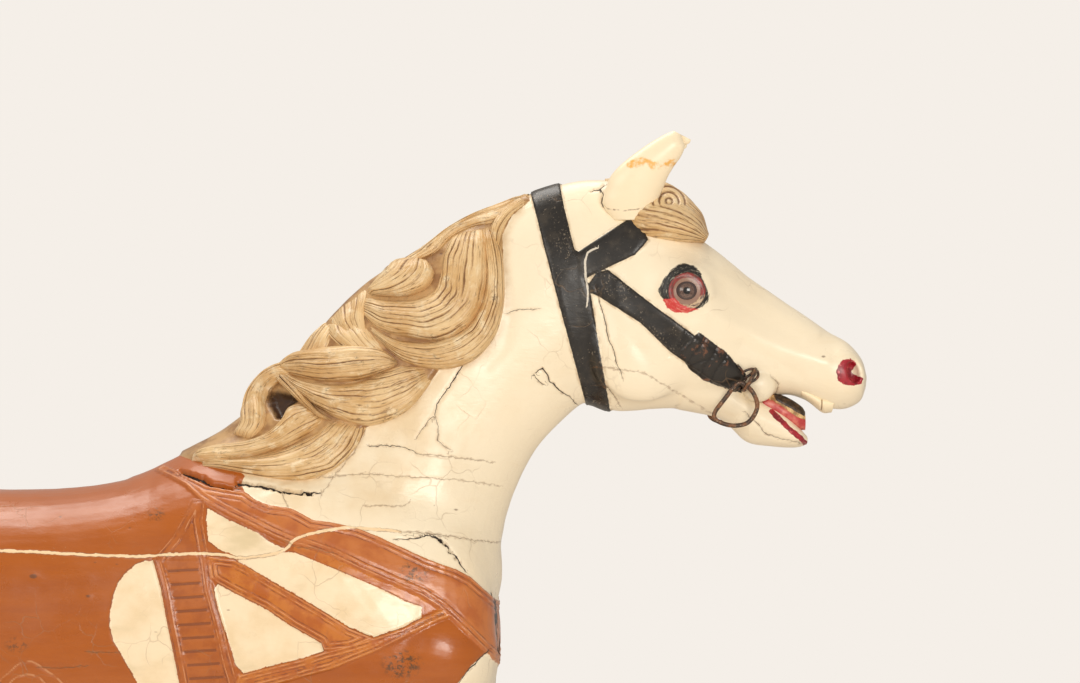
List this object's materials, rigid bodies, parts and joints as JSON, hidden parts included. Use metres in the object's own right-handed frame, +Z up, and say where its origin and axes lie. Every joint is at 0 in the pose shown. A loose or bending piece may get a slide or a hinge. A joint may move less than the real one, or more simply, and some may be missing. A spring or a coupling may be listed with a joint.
{
  "type": "carousel horse",
  "caption": "Carved and painted wooden carousel horse with a swept mane, low-relief trappings and a bridle, standing on a low plank base.",
  "frame": {"origin": "centre of the base's underside", "axes": "+X towards the horse's nose, +Y to the horse's left, +Z up"},
  "size_m": [1.4388, 0.34, 1.2834],
  "materials": {
    "horse_paint": "aged glossy paint over carved wood",
    "base_paint": "aged glossy paint over planks",
    "eye_glass": "polished, opaque dark glass",
    "bit_iron": "rusted iron wire"
  },
  "bodies": {
    "root": {"base": "base_paint", "horse": "horse_paint", "ear_right": "horse_paint", "ear_left": "horse_paint", "eye_right": "eye_glass", "eye_left": "eye_glass", "bit_staple_right": "bit_iron", "bit_staple_left": "bit_iron", "bit_ring_right": "bit_iron", "bit_ring_left": "bit_iron"}
  },
  "joints": []
}
